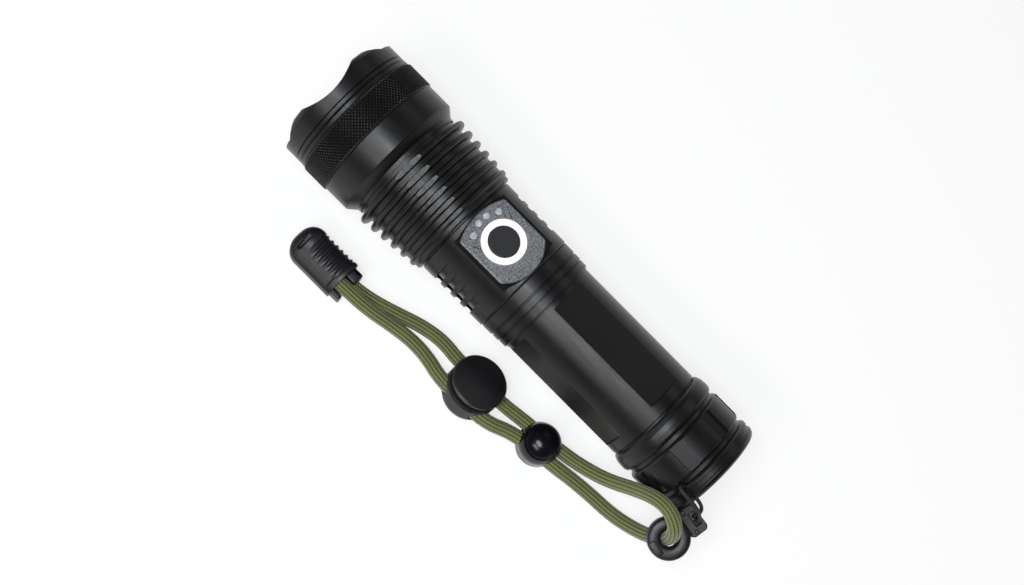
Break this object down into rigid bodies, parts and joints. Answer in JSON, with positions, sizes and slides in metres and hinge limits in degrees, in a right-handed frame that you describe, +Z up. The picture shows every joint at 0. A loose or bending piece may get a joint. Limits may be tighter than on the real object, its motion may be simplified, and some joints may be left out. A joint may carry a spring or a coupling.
{
  "type": "flashlight",
  "caption": "Zooming hand flashlight with a scalloped bezel, side switch, removable battery and a braided cord wrist lanyard.",
  "frame": {"origin": "bottom centre of the light itself, under the optical axis, on the surface that its widest band rests on; the lanyard is not counted", "axes": "+X along the beam, +Z up through the side switch, +Y towards the lanyard"},
  "size_m": [0.1645, 0.0607, 0.0422],
  "materials": {
    "anodised_black": "black anodised, satin",
    "lens_glass": "clear, polished",
    "black_rubber": "matte",
    "board_copper": "white solder mask",
    "led_yellow": "phosphor",
    "white_plastic": "translucent white",
    "steel": "plain",
    "board_green": "solder mask",
    "grained_plate": "fine speckled grain",
    "dark_rubber": "matte",
    "indicator_plastic": "milky domes",
    "dark_plastic": "moulded",
    "brass": "gold plated",
    "cell_wrap": "shrink wrap",
    "matte_plastic": "soft matte",
    "gloss_plastic": "glossy",
    "grey_plastic": "moulded, satin",
    "brown_plastic": "moulded, satin",
    "olive_cord": "braided cord",
    "black_string": "braided string"
  },
  "bodies": {
    "body": {"neck_tube": "anodised_black", "neck_o_rings": "black_rubber", "led_board": "board_copper", "led_emitter": "led_yellow", "led_centring_ring": "white_plastic", "led_screws": "steel", "usb_port": "steel", "charge_board": "board_green", "switch_housing": "anodised_black", "switch_plate": "grained_plate", "switch_ring": "white_plastic", "battery_indicators": "indicator_plastic", "switch_board": "board_green", "tact_switch": "dark_plastic", "driver_board": "board_green", "driver_parts": "dark_plastic", "battery_contact": "brass", "battery_tube": "anodised_black", "tail_o_ring": "black_rubber"},
    "head": {"bezel": "anodised_black", "head_sleeve": "anodised_black", "lens": "lens_glass", "lens_gasket": "black_rubber", "lens_retaining_ring": "anodised_black"},
    "button": {"switch_button": "dark_rubber"},
    "cap": {"tail_cap": "anodised_black", "tail_contact_board": "board_green", "tail_retaining_ring": "brass", "tail_spring": "brass", "string_loop": "black_string", "connector_eye": "grey_plastic", "connector_tab": "brown_plastic", "lanyard_cord": "olive_cord", "ball_lock_body": "gloss_plastic", "ball_lock_spring": "steel", "toggle_body": "matte_plastic", "toggle_spring": "steel", "cord_end_base": "grey_plastic", "cord_end_lid": "grey_plastic"},
    "cell": {"battery_cell": "cell_wrap", "battery_cap": "steel"},
    "toggle": {"toggle_plunger": "matte_plastic"},
    "ball_button": {"ball_lock_button": "gloss_plastic"}
  },
  "joints": [
    {"name": "zoom_slide", "type": "slide", "parent": "body", "child": "head", "axis": [1, 0, 0], "range_m": [0, 0.018]},
    {"name": "switch_press", "type": "slide", "parent": "body", "child": "button", "axis": [0, 0, -1], "range_m": [0, 0.0006], "stiffness_N_per_m": 800, "springref_m": -0.001},
    {"name": "cap_off", "type": "slide", "parent": "body", "child": "cap", "axis": [-1, 0, 0], "range_m": [0, 0.1]},
    {"name": "cell_out", "type": "slide", "parent": "body", "child": "cell", "axis": [-1, 0, 0], "range_m": [0, 0.08]},
    {"name": "toggle_press", "type": "slide", "parent": "cap", "child": "toggle", "axis": [0, 0.342, -0.9397], "range_m": [0, 0.0018], "stiffness_N_per_m": 400, "springref_m": -0.002, "deforming": ["toggle_spring"]},
    {"name": "ball_press", "type": "slide", "parent": "cap", "child": "ball_button", "axis": [0, 0, -1], "range_m": [0, 0.0014], "stiffness_N_per_m": 400, "springref_m": -0.002, "deforming": ["ball_lock_spring"]}
  ],
  "couplings": [
    {"joint": "cell_out", "follows": "cap_off", "ratio": 0.8}
  ]
}
